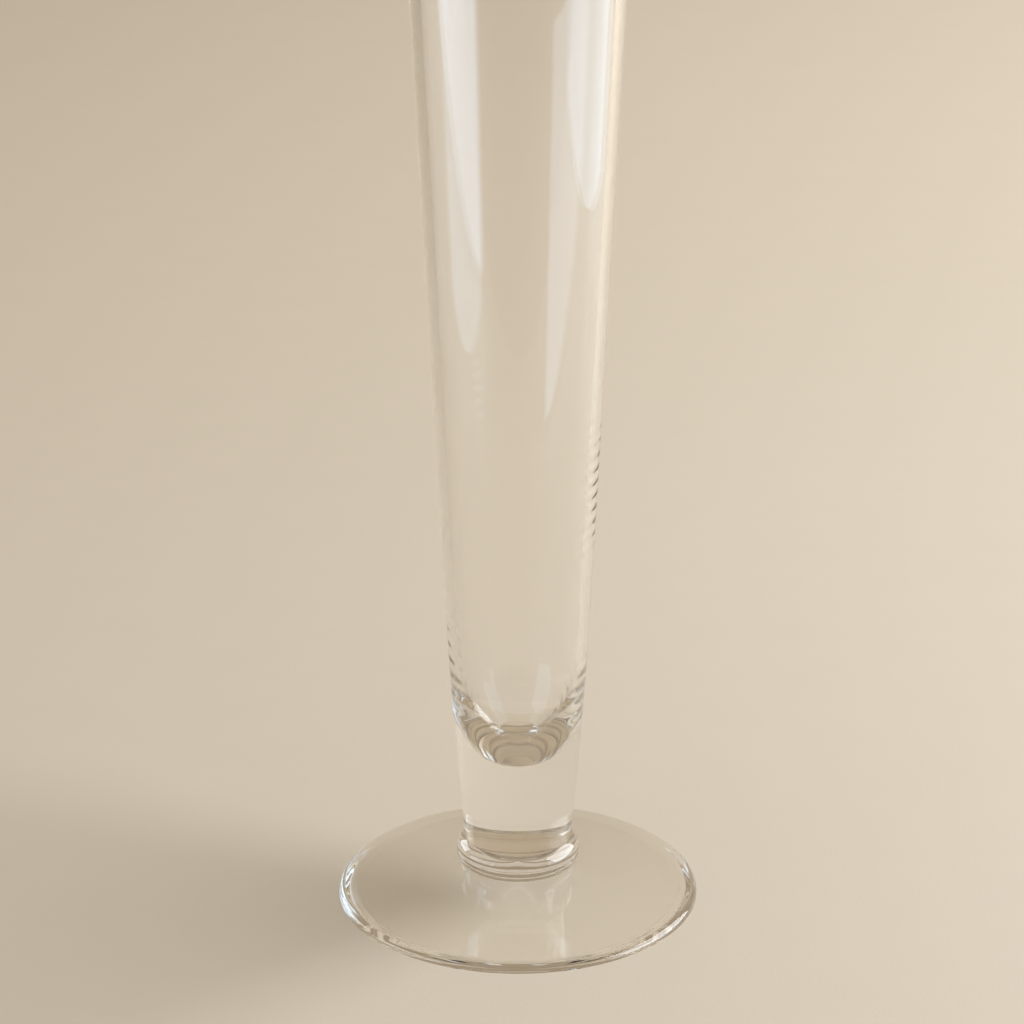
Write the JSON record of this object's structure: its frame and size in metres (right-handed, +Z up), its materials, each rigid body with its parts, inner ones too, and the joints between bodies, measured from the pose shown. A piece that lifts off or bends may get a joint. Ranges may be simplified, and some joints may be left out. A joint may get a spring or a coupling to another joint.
{
  "type": "flower vase",
  "caption": "Tall clear-glass footed vase: a slender bore that tapers to a solid heel, joined by a beaded wafer to a wide, shallow-coned foot.",
  "frame": {"origin": "centre of the flat resting ring under the foot, on the surface the vase stands on", "axes": "+Z up the vase's axis towards the mouth; +X and +Y are any two square directions, because the vase is a body of revolution"},
  "size_m": [0.115, 0.115, 0.4001],
  "materials": {
    "vessel_glass": "clear, fire-polished",
    "wafer_glass": "clear, fire-polished",
    "foot_glass": "clear, fire-polished"
  },
  "bodies": {
    "root": {"vessel": "vessel_glass", "joining_wafer": "wafer_glass", "foot": "foot_glass"}
  },
  "joints": []
}
